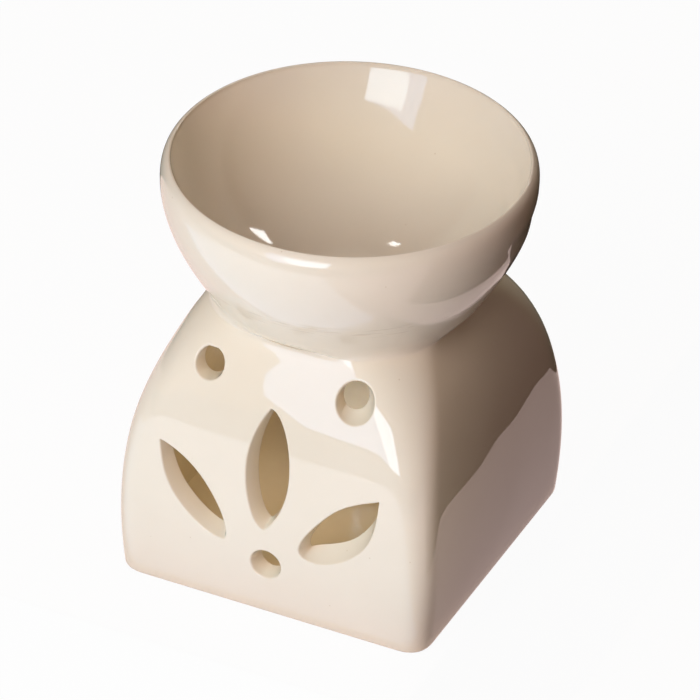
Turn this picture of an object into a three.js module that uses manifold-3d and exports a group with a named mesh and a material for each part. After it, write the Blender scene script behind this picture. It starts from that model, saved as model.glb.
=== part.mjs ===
// Ceramic oil burner with a tealight: a square slip-cast body with leaf-shaped cut-outs in its
// front, a round dish luted on its neck, and a tealight that slides in through the rear arch.
// Millimetres, +Z up, origin at the centre of the foot, pierced front towards -Y.

import * as THREE from 'three';
import { mergeVertices } from 'three/addons/utils/BufferGeometryUtils.js';
import Module from 'manifold-3d';

const wasm = await Module();
wasm.setup();

// Body, outer form. Half widths are from the axis to the middle of a flat side.
const footHalf = 38;
const footCorner = 5.4;
const footRounding = 0.9;
const bellyHandleHalf = 40.6;
const bellyHandleRise = 24;
const shoulderHandleHalf = 38.6;
const shoulderHandleDrop = 16.2;
const collarHalf = 27.7;
const collarCorner = 11.6;
const collarHeight = 66.2;
const neckRadius = 31.1;
const neckRise = 2.2;

// Body, walls and hollows
const bodyWall = 4.5;
const floorThickness = 4.8;
const recessDepth = 2.5;
const footRim = 8.1;
const seatWidth = 7;
const smallestCorner = 1.2;

// Front cut-outs
const leafWidth = 9.4;
const middleLeafLength = 28.8;
const middleLeafX = -1.1;
const middleLeafHeight = 38.8;
const sideLeafLength = 27;
const sideLeafSpread = 19;
const sideLeafHeight = 28.8;
const sideLeafTilt = 48;
const upperHoleRadius = 3.7;
const upperHoleSpread = 17.9;
const upperHoleHeight = 59;
const lowerHoleRadius = 3.4;
const lowerHoleHeight = 15.1;

// Rear arch
const archWidth = 50;
const archSpring = 20;

// Dish
const dishHeight = 31.6;
const bulgeRadius = 42;
const bulgeDrop = 7.2;
const bulgeHandleDrop = 8;
const footHandleRise = 9.2;
const footHandleLean = 5.3;
const rollHandleRise = 3.2;
const rollHandleDrop = 1.2;
const rollHandleLean = 0.55;
const lipThickness = 2.26;
const lipEdge = 0.4;
const dishFloor = 3.9;
const insideLipLean = 3.4;
const insideLipDrop = 12;
const insideFloorReach = 26;
const floorFlat = 4;

// Tealight
const cupRadius = 19;
const cupHeight = 15;
const cupSkin = 0.5;
const cupBead = 0.9;
const cupFootRounding = 1.5;
const waxDrop = 2.4;
const waxGap = 0.3;
const wickRadius = 0.7;
const wickStand = 7;
const wickGap = 0.3;
const sustainerRadius = 6.5;
const sustainerSheet = 0.6;
const neckTubeWall = 0.6;
const neckTubeHeight = 5;
const seatGap = 0.3;
const doorSetBack = 0.4;

// Facet counts
const cornerSteps = 6;
const flatSteps = 3;
const sideRings = 12;
const neckRings = 3;
const wallRings = 10;
const rollRings = 5;
const insideRings = 15;
const roundSteps = 3;
const turnedSteps = 48;
const smallSteps = 20;
const arcSteps = 10;

const deg = THREE.MathUtils.degToRad;
const vec = (x, y) => new THREE.Vector2(x, y);
const mix = THREE.MathUtils.lerp;
const cutOver = 4;

const bodyHeight = collarHeight + neckRise;
const floorTop = recessDepth + floorThickness;

// Closed solids for joining and cutting

function toSolid(geometry) {
  const bare = geometry.clone();
  bare.deleteAttribute('normal');
  bare.deleteAttribute('uv');
  const merged = mergeVertices(bare, 1e-4);
  const corners = merged.index.array;
  const faces = [];
  for (let i = 0; i < corners.length; i += 3) {
    const [a, b, c] = [corners[i], corners[i + 1], corners[i + 2]];
    if (a !== b && b !== c && c !== a) faces.push(a, b, c);
  }
  return new wasm.Manifold(new wasm.Mesh({
    numProp: 3,
    vertProperties: new Float32Array(merged.getAttribute('position').array),
    triVerts: new Uint32Array(faces),
  }));
}

function toGeometry(solid) {
  const mesh = solid.getMesh();
  const geometry = new THREE.BufferGeometry();
  geometry.setAttribute('position', new THREE.BufferAttribute(mesh.vertProperties, 3));
  geometry.setIndex(new THREE.BufferAttribute(mesh.triVerts, 1));
  geometry.computeVertexNormals();
  return geometry;
}

// Forms with a round or a rounded square plan

function turned(profile, steps) {
  return new THREE.LatheGeometry(profile, steps).rotateX(Math.PI / 2);
}

// One point of the rounded square plan: each quarter is a corner arc and then a flat side.
function planPoint({ half, corner }, spoke) {
  const perQuarter = cornerSteps + flatSteps;
  const quarter = Math.floor(spoke / perQuarter);
  const step = spoke % perQuarter;
  const centre = half - corner;
  const point = vec(centre, centre);
  if (step <= cornerSteps) {
    const turn = deg(90 * step / cornerSteps);
    point.add(vec(Math.cos(turn), Math.sin(turn)).multiplyScalar(corner));
  } else {
    const along = (step - cornerSteps) / flatSteps;
    point.set(mix(centre, -centre, along), half);
  }
  return point.rotateAround(vec(0, 0), quarter * Math.PI / 2);
}

// A turned form whose rings are then set out to the rounded square plan of each level.
function squareTurned(levels) {
  const spokes = 4 * (cornerSteps + flatSteps);
  const profile = levels.map(({ half, z }) => vec(half, z));
  profile.unshift(vec(0, levels[0].z));
  profile.push(vec(0, levels.at(-1).z));
  const geometry = turned(profile, spokes);
  const position = geometry.getAttribute('position');
  for (let spoke = 0; spoke <= spokes; spoke += 1) {
    levels.forEach((level, ring) => {
      const { x, y } = planPoint(level, spoke % spokes);
      position.setXYZ(spoke * profile.length + ring + 1, x, y, level.z);
    });
  }
  return toSolid(geometry);
}

// Body side: half width against height, with corners that open towards the collar
const sideCurve = new THREE.CubicBezierCurve(
  vec(footHalf, 0),
  vec(bellyHandleHalf, bellyHandleRise),
  vec(shoulderHandleHalf, collarHeight - shoulderHandleDrop),
  vec(collarHalf, collarHeight),
);

function sideLevel(t) {
  const { x: half, y: z } = sideCurve.getPoint(t);
  const climb = z / collarHeight;
  return { half, corner: mix(footCorner, collarCorner, climb * climb), z };
}

function sideLevelAt(height) {
  let low = 0;
  let high = 1;
  for (let i = 0; i < 30; i += 1) {
    const middle = (low + high) / 2;
    if (sideCurve.getPoint(middle).y < height) low = middle;
    else high = middle;
  }
  return { ...sideLevel(low), z: height };
}

function inset(level, by) {
  return {
    half: level.half - by,
    corner: Math.max(level.corner - by, smallestCorner),
    z: level.z,
  };
}

function sideLevelsBetween(bottom, top) {
  const levels = [];
  for (let i = 0; i <= sideRings; i += 1) {
    levels.push(sideLevelAt(mix(bottom, top, i / sideRings)));
  }
  return levels;
}

// Neck: the flat sides flare out to the dish's round foot while the corners lean in to it.
function neckLevel(t) {
  const climb = 1 - (1 - t) * (1 - t);
  const half = mix(collarHalf, neckRadius, t * t);
  const collarDiagonal = (collarHalf - collarCorner) * Math.SQRT2 + collarCorner;
  const diagonal = mix(collarDiagonal, neckRadius, climb);
  const corner = (half * Math.SQRT2 - diagonal) / (Math.SQRT2 - 1);
  return { half, corner: Math.min(corner, half), z: collarHeight + neckRise * climb };
}

function bodyOutside() {
  const levels = [];
  for (let i = 0; i < roundSteps; i += 1) {
    const turn = deg(90 * i / roundSteps);
    const level = sideLevelAt(footRounding * (1 - Math.cos(turn)));
    levels.push(inset(level, footRounding * (1 - Math.sin(turn))));
  }
  levels.push(...sideLevelsBetween(footRounding, collarHeight));
  for (let i = 1; i <= neckRings; i += 1) levels.push(neckLevel(i / neckRings));
  return squareTurned(levels);
}

function chamber() {
  const bore = neckRadius - seatWidth;
  const levels = sideLevelsBetween(floorTop, collarHeight).map((level) => inset(level, bodyWall));
  levels.push({ half: bore, corner: bore, z: bodyHeight + cutOver });
  return squareTurned(levels);
}

function footRecess() {
  const level = inset({ half: footHalf, corner: footCorner }, footRounding + footRim);
  return squareTurned([{ ...level, z: -cutOver }, { ...level, z: recessDepth }]);
}

// Cutters that pass along Y through one wall

function alongY(shape, fromY, toY) {
  const cutter = new THREE.ExtrudeGeometry(shape, {
    depth: toY - fromY, bevelEnabled: false, curveSegments: arcSteps,
  });
  return cutter.rotateX(Math.PI / 2).translate(0, toY, 0);
}

const frontFrom = -(Math.max(footHalf, bellyHandleHalf) + cutOver);
const frontTo = -(collarHalf - 2 * bodyWall);

// A pointed leaf of two equal arcs, standing on end before it is tilted.
function leafCutter(length, x, height, tilt) {
  const radius = (length * length + leafWidth * leafWidth) / (4 * leafWidth);
  const reach = radius - leafWidth / 2;
  const spread = Math.asin(length / 2 / radius);
  const leaf = new THREE.Shape();
  leaf.absarc(-reach, 0, radius, -spread, spread, false);
  leaf.absarc(reach, 0, radius, Math.PI - spread, Math.PI + spread, false);
  const cutter = alongY(leaf, frontFrom, frontTo).rotateY(deg(tilt));
  return toSolid(cutter.translate(x, 0, height));
}

function holeCutter(radius, x, height) {
  const hole = new THREE.Shape();
  hole.absarc(0, 0, radius, 0, 2 * Math.PI, false);
  return toSolid(alongY(hole, frontFrom, frontTo).translate(x, 0, height));
}

function archCutter() {
  const half = archWidth / 2;
  const arch = new THREE.Shape();
  arch.moveTo(-half, 0);
  arch.lineTo(half, 0);
  arch.absarc(0, archSpring, half, 0, Math.PI, false);
  const cutter = alongY(arch, collarHalf - bodyWall, -frontFrom);
  return toSolid(cutter.translate(0, 0, floorTop));
}

function burnerBody() {
  const sideTilt = 90 - sideLeafTilt;
  const cutters = [
    chamber(),
    footRecess(),
    archCutter(),
    leafCutter(middleLeafLength, middleLeafX, middleLeafHeight, 0),
    leafCutter(sideLeafLength, sideLeafSpread, sideLeafHeight, sideTilt),
    leafCutter(sideLeafLength, -sideLeafSpread, sideLeafHeight, -sideTilt),
    holeCutter(upperHoleRadius, upperHoleSpread, upperHoleHeight),
    holeCutter(upperHoleRadius, -upperHoleSpread, upperHoleHeight),
    holeCutter(lowerHoleRadius, 0, lowerHoleHeight),
  ];
  return toGeometry(cutters.reduce((solid, cutter) => solid.subtract(cutter), bodyOutside()));
}

// Dish: an outside that bulges and rolls in to the lip, a small edge, and an inside that eases from
// the lip to a flat middle
function oilBowl() {
  const bulgeHeight = dishHeight - bulgeDrop;
  const outside = new THREE.CubicBezierCurve(
    vec(neckRadius, 0),
    vec(neckRadius + footHandleLean, footHandleRise),
    vec(bulgeRadius, bulgeHeight - bulgeHandleDrop),
    vec(bulgeRadius, bulgeHeight),
  );
  const mouth = bulgeRadius - lipThickness;
  const roll = new THREE.CubicBezierCurve(
    vec(bulgeRadius, bulgeHeight),
    vec(bulgeRadius, bulgeHeight + rollHandleRise),
    vec(bulgeRadius - rollHandleLean, dishHeight - rollHandleDrop),
    vec(mouth + lipEdge, dishHeight),
  );
  const edgeHeight = dishHeight - lipEdge;
  const inside = new THREE.CubicBezierCurve(
    vec(mouth, edgeHeight),
    vec(mouth - insideLipLean, edgeHeight - insideLipDrop),
    vec(insideFloorReach, dishFloor),
    vec(floorFlat, dishFloor),
  );
  const profile = [
    vec(0, 0),
    ...outside.getPoints(wallRings),
    ...roll.getPoints(rollRings).slice(1),
    ...inside.getPoints(insideRings),
    vec(0, dishFloor),
  ];
  return toGeometry(toSolid(turned(profile, turnedSteps)));
}

// Tealight: pressed cup, poured wax, and a wick in a crimped sustainer

function tealightCup() {
  const inner = cupRadius - cupBead;
  const beadZ = cupHeight - cupBead / 2;
  const rounding = (radius, by) => [1, 2, 3].map((i) => {
    const turn = deg(30 * i);
    return vec(radius - by + by * Math.sin(turn), by - by * Math.cos(turn));
  });
  const insideFoot = rounding(inner - cupSkin, cupFootRounding - cupSkin)
    .map(({ x, y }) => vec(x, y + cupSkin));
  const profile = [
    vec(0, 0),
    vec(inner - cupFootRounding, 0),
    ...rounding(inner, cupFootRounding),
    vec(inner, cupHeight - cupBead),
    vec(cupRadius, beadZ),
    vec(cupRadius - cupBead / 2, cupHeight),
    vec(inner - cupSkin, cupHeight),
    ...insideFoot.reverse(),
    vec(inner - cupFootRounding, cupSkin),
    vec(0, cupSkin),
  ];
  return toGeometry(toSolid(turned(profile, turnedSteps)));
}

const tubeRadius = wickRadius + wickGap + neckTubeWall;
const waxBase = cupSkin + waxGap;
const waxTop = cupHeight - waxDrop;
const tubeTop = cupSkin + sustainerSheet + neckTubeHeight;

function waxFill() {
  const outer = cupRadius - cupBead - cupSkin - waxGap;
  const wickBore = wickRadius + wickGap;
  const profile = [
    vec(sustainerRadius + waxGap, waxBase),
    vec(outer - cupFootRounding, waxBase),
    vec(outer, waxBase + cupFootRounding),
    vec(outer, waxTop),
    vec(wickBore, waxTop),
    vec(wickBore, tubeTop + waxGap),
    vec(tubeRadius + waxGap, tubeTop + waxGap),
    vec(tubeRadius + waxGap, cupSkin + sustainerSheet + waxGap),
    vec(sustainerRadius + waxGap, cupSkin + sustainerSheet + waxGap),
    vec(sustainerRadius + waxGap, waxBase),
  ];
  return toGeometry(toSolid(turned(profile, turnedSteps)));
}

function wickSustainer() {
  const bore = wickRadius + wickGap;
  const profile = [
    vec(0, 0),
    vec(sustainerRadius, 0),
    vec(sustainerRadius, sustainerSheet),
    vec(tubeRadius, sustainerSheet),
    vec(tubeRadius, tubeTop - cupSkin),
    vec(bore, tubeTop - cupSkin),
    vec(bore, sustainerSheet),
    vec(0, sustainerSheet),
  ];
  return toGeometry(toSolid(turned(profile, smallSteps)));
}

const wickBase = cupSkin + sustainerSheet + wickGap;
const wickLength = waxTop + wickStand - wickBase;

function wick() {
  const cord = new THREE.CylinderGeometry(wickRadius, wickRadius, wickLength, smallSteps);
  cord.rotateX(Math.PI / 2).translate(0, 0, wickLength / 2);
  return toGeometry(toSolid(cord));
}

// Assembly

function piece(name, geometry, color, roughness, metalness) {
  const finish = new THREE.MeshStandardMaterial({ color, roughness, metalness });
  const mesh = new THREE.Mesh(geometry, finish);
  mesh.name = name;
  return mesh;
}

const body = piece('burner_body', burnerBody(), 0xe8dccb, 0.12, 0);
const bowl = piece('oil_bowl', oilBowl(), 0xe6d8c6, 0.12, 0);
bowl.position.z = bodyHeight;

const cup = piece('tealight_cup', tealightCup(), 0xc8cacc, 0.3, 1);
const wax = piece('wax_fill', waxFill(), 0xf3efe4, 0.45, 0);
const sustainer = piece('wick_sustainer', wickSustainer(), 0xb9bbbd, 0.35, 1);
sustainer.position.z = cupSkin;
const cord = piece('wick', wick(), 0xe9e3d2, 0.9, 0);
cord.position.z = wickBase;

// The tealight stands in the rear doorway, with its back edge just inside the wall's outer face.
const doorFace = sideLevelAt(floorTop).half;
const tealight = new THREE.Group();
tealight.add(cup, wax, sustainer, cord);
tealight.position.set(0, doorFace - doorSetBack - cupRadius, floorTop + seatGap);

const burner = new THREE.Group();
burner.add(body, bowl, tealight);

export default burner;
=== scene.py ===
import math
import bmesh
import bpy
from mathutils import Matrix, Vector
from mathutils.bvhtree import BVHTree
from mathutils.geometry import intersect_line_line_2d


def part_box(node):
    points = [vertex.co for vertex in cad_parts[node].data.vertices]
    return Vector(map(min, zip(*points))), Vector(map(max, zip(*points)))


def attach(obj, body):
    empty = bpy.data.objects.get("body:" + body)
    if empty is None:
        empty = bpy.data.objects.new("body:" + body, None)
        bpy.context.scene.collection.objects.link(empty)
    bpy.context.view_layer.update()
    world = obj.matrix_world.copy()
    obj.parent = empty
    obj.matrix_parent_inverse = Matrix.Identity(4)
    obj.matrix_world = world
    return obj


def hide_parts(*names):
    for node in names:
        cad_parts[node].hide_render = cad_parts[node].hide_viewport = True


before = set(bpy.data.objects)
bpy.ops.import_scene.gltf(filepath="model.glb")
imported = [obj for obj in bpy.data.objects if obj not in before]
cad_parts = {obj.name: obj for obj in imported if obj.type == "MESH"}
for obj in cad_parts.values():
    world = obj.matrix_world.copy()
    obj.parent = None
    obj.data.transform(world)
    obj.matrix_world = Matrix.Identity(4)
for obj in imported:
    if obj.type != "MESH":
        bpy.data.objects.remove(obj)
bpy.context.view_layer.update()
scene = bpy.context.scene
scene.view_settings.view_transform = "Standard"


# Camera: a long lens, far off, that looks down on the front and the plain side and is turned a
# little about its own axis. Lengths are in metres, and MM is one millimetre.
MM = 0.001
CAMERA_AZIMUTH = 25.13
CAMERA_ELEVATION = 34.25
CAMERA_ROLL = math.radians(1.285)
CAMERA_DISTANCE = 1540 * MM
CAMERA_AIM_RIGHT = 0.94 * MM
CAMERA_AIM_HEIGHT = 48.94 * MM
CAMERA_NEAREST = 0.1
CAMERA_FARTHEST = 20
SENSOR_WIDTH = 36
PIXELS_PER_METRE = 4414.6
PICTURE_PIXELS = 700


def direction(azimuth, elevation):
    """Unit vector towards an azimuth, counted from -Y towards +X, and an elevation, in degrees."""
    a, e = math.radians(azimuth), math.radians(elevation)
    return Vector((math.sin(a) * math.cos(e), -math.cos(a) * math.cos(e), math.sin(e)))


camera_data = bpy.data.cameras.new("camera")
camera_data.sensor_width = SENSOR_WIDTH
camera_data.lens = SENSOR_WIDTH * PIXELS_PER_METRE * CAMERA_DISTANCE / PICTURE_PIXELS
camera_data.clip_start = CAMERA_NEAREST
camera_data.clip_end = CAMERA_FARTHEST
camera = bpy.data.objects.new("camera", camera_data)
scene.collection.objects.link(camera)
camera_back = direction(CAMERA_AZIMUTH, CAMERA_ELEVATION)
camera_aim = Vector((CAMERA_AIM_RIGHT * math.cos(math.radians(CAMERA_AZIMUTH)),
                     CAMERA_AIM_RIGHT * math.sin(math.radians(CAMERA_AZIMUTH)),
                     CAMERA_AIM_HEIGHT))
camera_turn = (-camera_back).to_track_quat("-Z", "Y").to_matrix().to_4x4()
camera.matrix_world = (Matrix.Translation(camera_aim + camera_back * CAMERA_DISTANCE)
                       @ camera_turn @ Matrix.Rotation(CAMERA_ROLL, 4, "Z"))
scene.camera = camera


# Surroundings: a white table top, a dark card that stands close to the burner's right, a dim room,
# a softbox in front, and lamps round the burner, above it and in its chamber. The glaze mirrors the
# softbox, two spots, the table and the card, and the lamps only light it.
TABLE_SIZE = 12
TABLE_WHITE = "e6dcd6"
SHADOW_SHARE = 0.045
SHEET_PALE = "fde2db"
SHEET_FRONT = 235 * MM
SHEET_BACK = 95 * MM
PAST_SHEET = "0d0b0a"


def deselect_all():
    if bpy.context.object and bpy.context.object.mode != "OBJECT":
        bpy.ops.object.mode_set(mode="OBJECT")
    bpy.ops.object.select_all(action="DESELECT")


def linear(hex_colour):
    """An sRGB colour such as "e8dccb" as the linear RGBA that a shader socket takes."""
    channels = [int(hex_colour[i:i + 2], 16) / 255 for i in (0, 2, 4)]
    return [c / 12.92 if c <= 0.04045 else ((c + 0.055) / 1.055) ** 2.4 for c in channels] + [1]


def new_material(name):
    """An empty node material and its output node."""
    material = bpy.data.materials.new(name)
    material.use_nodes = True
    material.node_tree.nodes.clear()
    return material, material.node_tree.nodes.new("ShaderNodeOutputMaterial")


def add_node(material, kind, **settings):
    """Adds a node. A setting is a socket, named in lower case with _ for a space or as in0, in1,
    or else a property. A socket that is given another node's socket is linked to it, and one that
    is given a node to its first output."""
    node = material.node_tree.nodes.new("ShaderNode" + kind)
    for key, value in settings.items():
        if isinstance(value, bpy.types.Node):
            value = value.outputs[0]
        named = [socket for index, socket in enumerate(node.inputs)
                 if key in (f"in{index}", socket.name.lower().replace(" ", "_"))]
        if not named:
            setattr(node, key, value)
        elif isinstance(value, bpy.types.NodeSocket):
            material.node_tree.links.new(value, named[0])
        else:
            named[0].default_value = value
    return node


def surface(material, output, shader):
    """Makes a shader node the surface of its material."""
    material.node_tree.links.new(shader.outputs[0], output.inputs["Surface"])


# The camera sees the table as plain white with a share of the burner's shadow. The glaze mirrors
# it as a pale sheet that ends in front of the burner and behind it, and as dark past that.
deselect_all()
bpy.ops.mesh.primitive_plane_add(size=TABLE_SIZE)
floor = bpy.context.object
floor.name = "floor"
card, card_output = new_material("matt white card")
card_diffuse = add_node(card, "BsdfDiffuse", color=linear(TABLE_WHITE))
card_white = add_node(card, "Emission", color=(1, 1, 1, 1), strength=1)
card_shaded = add_node(card, "MixShader", in0=SHADOW_SHARE, in1=card_white, in2=card_diffuse)
card_pale = add_node(card, "Emission", color=linear(SHEET_PALE), strength=1)
card_dark = add_node(card, "Emission", color=linear(PAST_SHEET), strength=1)
card_place = add_node(card, "TexCoord")
card_axes = add_node(card, "SeparateXYZ", vector=card_place.outputs["Object"])
card_off = add_node(card, "Math", operation="ADD", in0=card_axes.outputs["Y"],
                    in1=(SHEET_FRONT - SHEET_BACK) / 2)
card_off_abs = add_node(card, "Math", operation="ABSOLUTE", in0=card_off)
card_near = add_node(card, "Math", operation="LESS_THAN", in0=card_off_abs,
                     in1=(SHEET_FRONT + SHEET_BACK) / 2)
card_mirrored = add_node(card, "MixShader", in0=card_near, in1=card_dark, in2=card_pale)
card_rays = add_node(card, "LightPath")
card_seen = add_node(card, "MixShader", in0=card_rays.outputs["Is Camera Ray"], in1=card_diffuse,
                     in2=card_shaded)
card_all = add_node(card, "MixShader", in0=card_rays.outputs["Is Glossy Ray"], in1=card_seen,
                    in2=card_mirrored)
surface(card, card_output, card_all)
floor.data.materials.append(card)

# The room is brighter on its left and in front. The light of either side starts where a
# direction's share along the axis passes the first value here, and it is full at the second.
ROOM_SIDES = (("X", (0.2, 0.05, 0)), ("Y", (0.45, 0.36, 0.19)))
ROOM_FADE = (0.1, -0.6)
ROOM_LEAST = 0.004
world = bpy.data.worlds.new("room")
scene.world = world
world.use_nodes = True
world.node_tree.nodes.clear()
room_output = world.node_tree.nodes.new("ShaderNodeOutputWorld")
room_rays = add_node(world, "LightPath")
room_white = add_node(world, "Background", color=(1, 1, 1, 1), strength=1)
room_place = add_node(world, "TexCoord")
room_axes = add_node(world, "SeparateXYZ", vector=room_place.outputs["Generated"])
room_light = add_node(world, "Background", color=(1, 1, 1, 1), strength=ROOM_LEAST)
for axis, colour in ROOM_SIDES:
    side = add_node(world, "MapRange", interpolation_type="SMOOTHSTEP",
                    value=room_axes.outputs[axis], from_min=ROOM_FADE[0], from_max=ROOM_FADE[1])
    off = add_node(world, "Background", color=(0, 0, 0, 1), strength=0)
    lit = add_node(world, "Background", color=(*colour, 1), strength=1)
    shaded = add_node(world, "MixShader", in0=side, in1=off, in2=lit)
    room_light = add_node(world, "AddShader", in0=room_light, in1=shaded)
room = add_node(world, "MixShader", in0=room_rays.outputs["Is Camera Ray"], in1=room_light,
                in2=room_white)
surface(world, room_output, room)


# Softboxes that the glaze mirrors and that light nothing, and lamps that it doesn't mirror. Each
# fills an outline of azimuths and elevations, in degrees, as seen from the burner, at a distance in
# metres. The last value is its light, red, green and blue.
LAMP_AIM = Vector((0, 0, 50 * MM))
SOFTBOXES = (
    ("front softbox", ((-22.5, 30), (-21.4, 6.6), (-18.5, -1.4), (-14, -3), (14, 2), (16, 25)), 0.9,
     (2.03, 2.74, 4.16)),
    ("softbox middle", ((-11, 27.5), (-11, -2.6), (14, 2), (16, 25)), 0.88, (5.6, 7.0, 8.2)),
    ("spot left", ((165.3, 29.9), (168.2, 37.8), (178.7, 34.8), (175.2, 29.8)), 1.2, (12, 12, 12)),
    ("spot right", ((-141.4, 46.6), (-136.8, 47.4), (-134.7, 44.1), (-139.1, 43.8)), 1.2,
     (12, 12, 12)),
)
LAMPS = (
    ("lamp left", (-52, -17), (14, 56), 1.0, (0, 1.15, 1.75)),
    ("lamp middle", (-17, 8), (14, 56), 0.95, (7.9, 6.9, 6.8)),
    ("lamp middle low", (-17, 8), (0, 14), 0.95, (0, 1.5, 2.92)),
    ("lamp right low", (8, 34), (0, 14), 1.0, (0.88, 0, 0.84)),
    ("lamp behind", (176, 212), (2, 34), 1.5, (4.2, 4.1, 3.8)),
)


def panel(name, corners, light, mirrored=True, lighting=True, shadow=True):
    """A panel between its corners that glows with a light, or with little of it is dark."""
    mesh = bpy.data.meshes.new(name)
    mesh.from_pydata(corners, [], [range(len(corners))])
    sheet = bpy.data.objects.new(name, mesh)
    scene.collection.objects.link(sheet)
    cloth, cloth_output = new_material(name + " cloth")
    surface(cloth, cloth_output, add_node(cloth, "Emission", color=(*light, 1), strength=1))
    sheet.data.materials.append(cloth)
    sheet.visible_camera = False
    sheet.visible_glossy = mirrored
    sheet.visible_diffuse = lighting
    sheet.visible_shadow = lighting and shadow


def softbox(name, outline, distance, light, mirrored=True, lighting=True):
    """A flat panel that fills an outline of directions as seen from the burner."""
    ways = [direction(azimuth, elevation) for azimuth, elevation in outline]
    facing = sum(ways, Vector()).normalized()
    corners = [LAMP_AIM + way * (distance / way.dot(facing)) for way in ways]
    panel(name, corners, light, mirrored, lighting)


def level_corners(left, right, front, back, height):
    """Corners of a level rectangle, from its edges and height in millimetres."""
    return [Vector((x * MM, y * MM, height * MM))
            for x, y in ((left, front), (right, front), (right, back), (left, back))]


for name, outline, distance, light in SOFTBOXES:
    softbox(name, outline, distance, light, lighting=False)
for name, (left, right), (low, high), distance, light in LAMPS:
    softbox(name, ((left, low), (right, low), (right, high), (left, high)), distance, light,
            mirrored=False)

panel("lamp above", level_corners(-250, 250, -250, 250, 1000), (0.78, 0.66, 0.8), mirrored=False)
# The bright table throws light up on the front, and the glaze mirrors a brighter part of it.
panel("table front", level_corners(-160, 160, -320, -60, 0.5), (0.87, 0.96, 1.0), mirrored=False)
panel("table mirrored", level_corners(-220, 42, -235, -41, 0.3), (1.4, 1.5, 1.8), lighting=False)
panel("chamber lamp", level_corners(-16, 16, -16, 16, 63), (2.1, 1.9, 1.65), mirrored=False)
# The card keeps the room's light off the plain side, and the black strip the table's.
panel("dark card", [Vector((75 * MM, y * MM, z * MM))
                    for y, z in ((-40, 0), (170, 0), (170, 350), (-40, 350))],
      (0.073, 0.047, 0.03), shadow=False)
panel("table strip", level_corners(42, 75, -200, 170, 0.5), (0, 0, 0), mirrored=False,
      shadow=False)


# Burner body: a square earthenware shell, slip-cast in a plaster mould. The leaves, the holes and
# the rear arch are cut out of the leather-hard clay before it is glazed all over but for the foot.
FOOT_HALF = 38.35 * MM
FOOT_CORNER = 5.4 * MM
FOOT_ROUNDING = 1.2 * MM
BELLY_HANDLE = (40.6 * MM, 24 * MM)
SHOULDER_HANDLE = (38.6 * MM, 50 * MM)
COLLAR_HALF = 27.75 * MM
COLLAR_CORNER = 14.2 * MM
COLLAR_HEIGHT = 66.2 * MM
NECK_RADIUS = 31.1 * MM
NECK_SEAT = 30.2 * MM
NECK_TOP = 68.4 * MM
BODY_WALL = 4.5 * MM
FLOOR_TOP = 7.3 * MM
RECESS_DEPTH = 2.5 * MM
RECESS_HALF = 29 * MM
NECK_BORE = 24.1 * MM
FACE_CROWN = 0.5 * MM
CORNER_SEGMENTS = 18
CORNER_POWER = 2.6
CORNER_SPREAD = 1.25
SHOULDER_LEAN = 0.6 * MM
SHOULDER_LEAN_GROWS = (36 * MM, 58 * MM)
SHOULDER_LEAN_FADES = (57 * MM, NECK_TOP)
FLAT_CUTS = 15
RING_STEP = 1.5 * MM
FOOT_STEPS = 6
NECK_STEPS = 8
HALVINGS = 30
INNER_CORNER_LEAST = 1.2 * MM
CUT_PAST = 2 * MM


def bezier(handles, t):
    """A point on the cubic curve through four handles, each a radius and a height."""
    weights = ((1 - t) ** 3, 3 * (1 - t) ** 2 * t, 3 * (1 - t) * t ** 2, t ** 3)
    return [sum(w * h[axis] for w, h in zip(weights, handles)) for axis in (0, 1)]


def side_point(t):
    """Half width and height of the body's side."""
    return bezier(((FOOT_HALF, 0), BELLY_HANDLE, SHOULDER_HANDLE, (COLLAR_HALF, COLLAR_HEIGHT)), t)


def ease(start, end, value):
    """0 before the start, 1 after the end and a smooth climb between them."""
    t = min(max((value - start) / (end - start), 0), 1)
    return t * t * (3 - 2 * t)


def side_at(height):
    """Half width of the body at a height, the reach of its corner and how square that is: 2 is
    round, and more is squarer."""
    low, high = 0, 1
    for _ in range(HALVINGS):
        middle = (low + high) / 2
        if side_point(middle)[1] < height:
            low = middle
        else:
            high = middle
    opening = (height / COLLAR_HEIGHT) ** 3
    corner = FOOT_CORNER * CORNER_SPREAD * (1 - opening) + COLLAR_CORNER * opening
    return side_point(low)[0], corner, CORNER_POWER * (1 - opening) + 2 * opening


def neck_at(t):
    """The level at a place in the neck: the flats flare, and the corners lean in."""
    climb = 1 - (1 - t) ** 2
    half = COLLAR_HALF + (NECK_SEAT - COLLAR_HALF) * t * t
    collar_diagonal = (COLLAR_HALF - COLLAR_CORNER) * math.sqrt(2) + COLLAR_CORNER
    diagonal = collar_diagonal + (NECK_SEAT - collar_diagonal) * climb
    corner = min((half * math.sqrt(2) - diagonal) / (math.sqrt(2) - 1), half)
    return half, corner, COLLAR_HEIGHT + (NECK_TOP - COLLAR_HEIGHT) * climb, 2


def set_out(form, old, new):
    """Moves the ring of vertices that is selected from one level's rounded square to another's."""
    old_flat, new_flat = old[0] - old[1], new[0] - new[1]
    mesh = bmesh.from_edit_mesh(form.data)
    for vertex in mesh.verts:
        if vertex.select:
            for axis in (0, 1):
                size = abs(vertex.co[axis])
                along = min(size, old_flat) / old_flat
                round_the_corner = (max(size - old_flat, 0) / old[1]) ** (old[3] / new[3])
                vertex.co[axis] = math.copysign(along * new_flat + round_the_corner * new[1],
                                                vertex.co[axis])
            vertex.co.z = new[2]
    bmesh.update_edit_mesh(form.data)


def turn_faces_outward(form):
    """Turns the faces of a closed form that is in edit mode outwards."""
    bpy.ops.mesh.select_all(action="SELECT")
    bpy.ops.mesh.normals_make_consistent(inside=False)
    if bmesh.from_edit_mesh(form.data).calc_volume(signed=True) < 0:
        bpy.ops.mesh.flip_normals()


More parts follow.
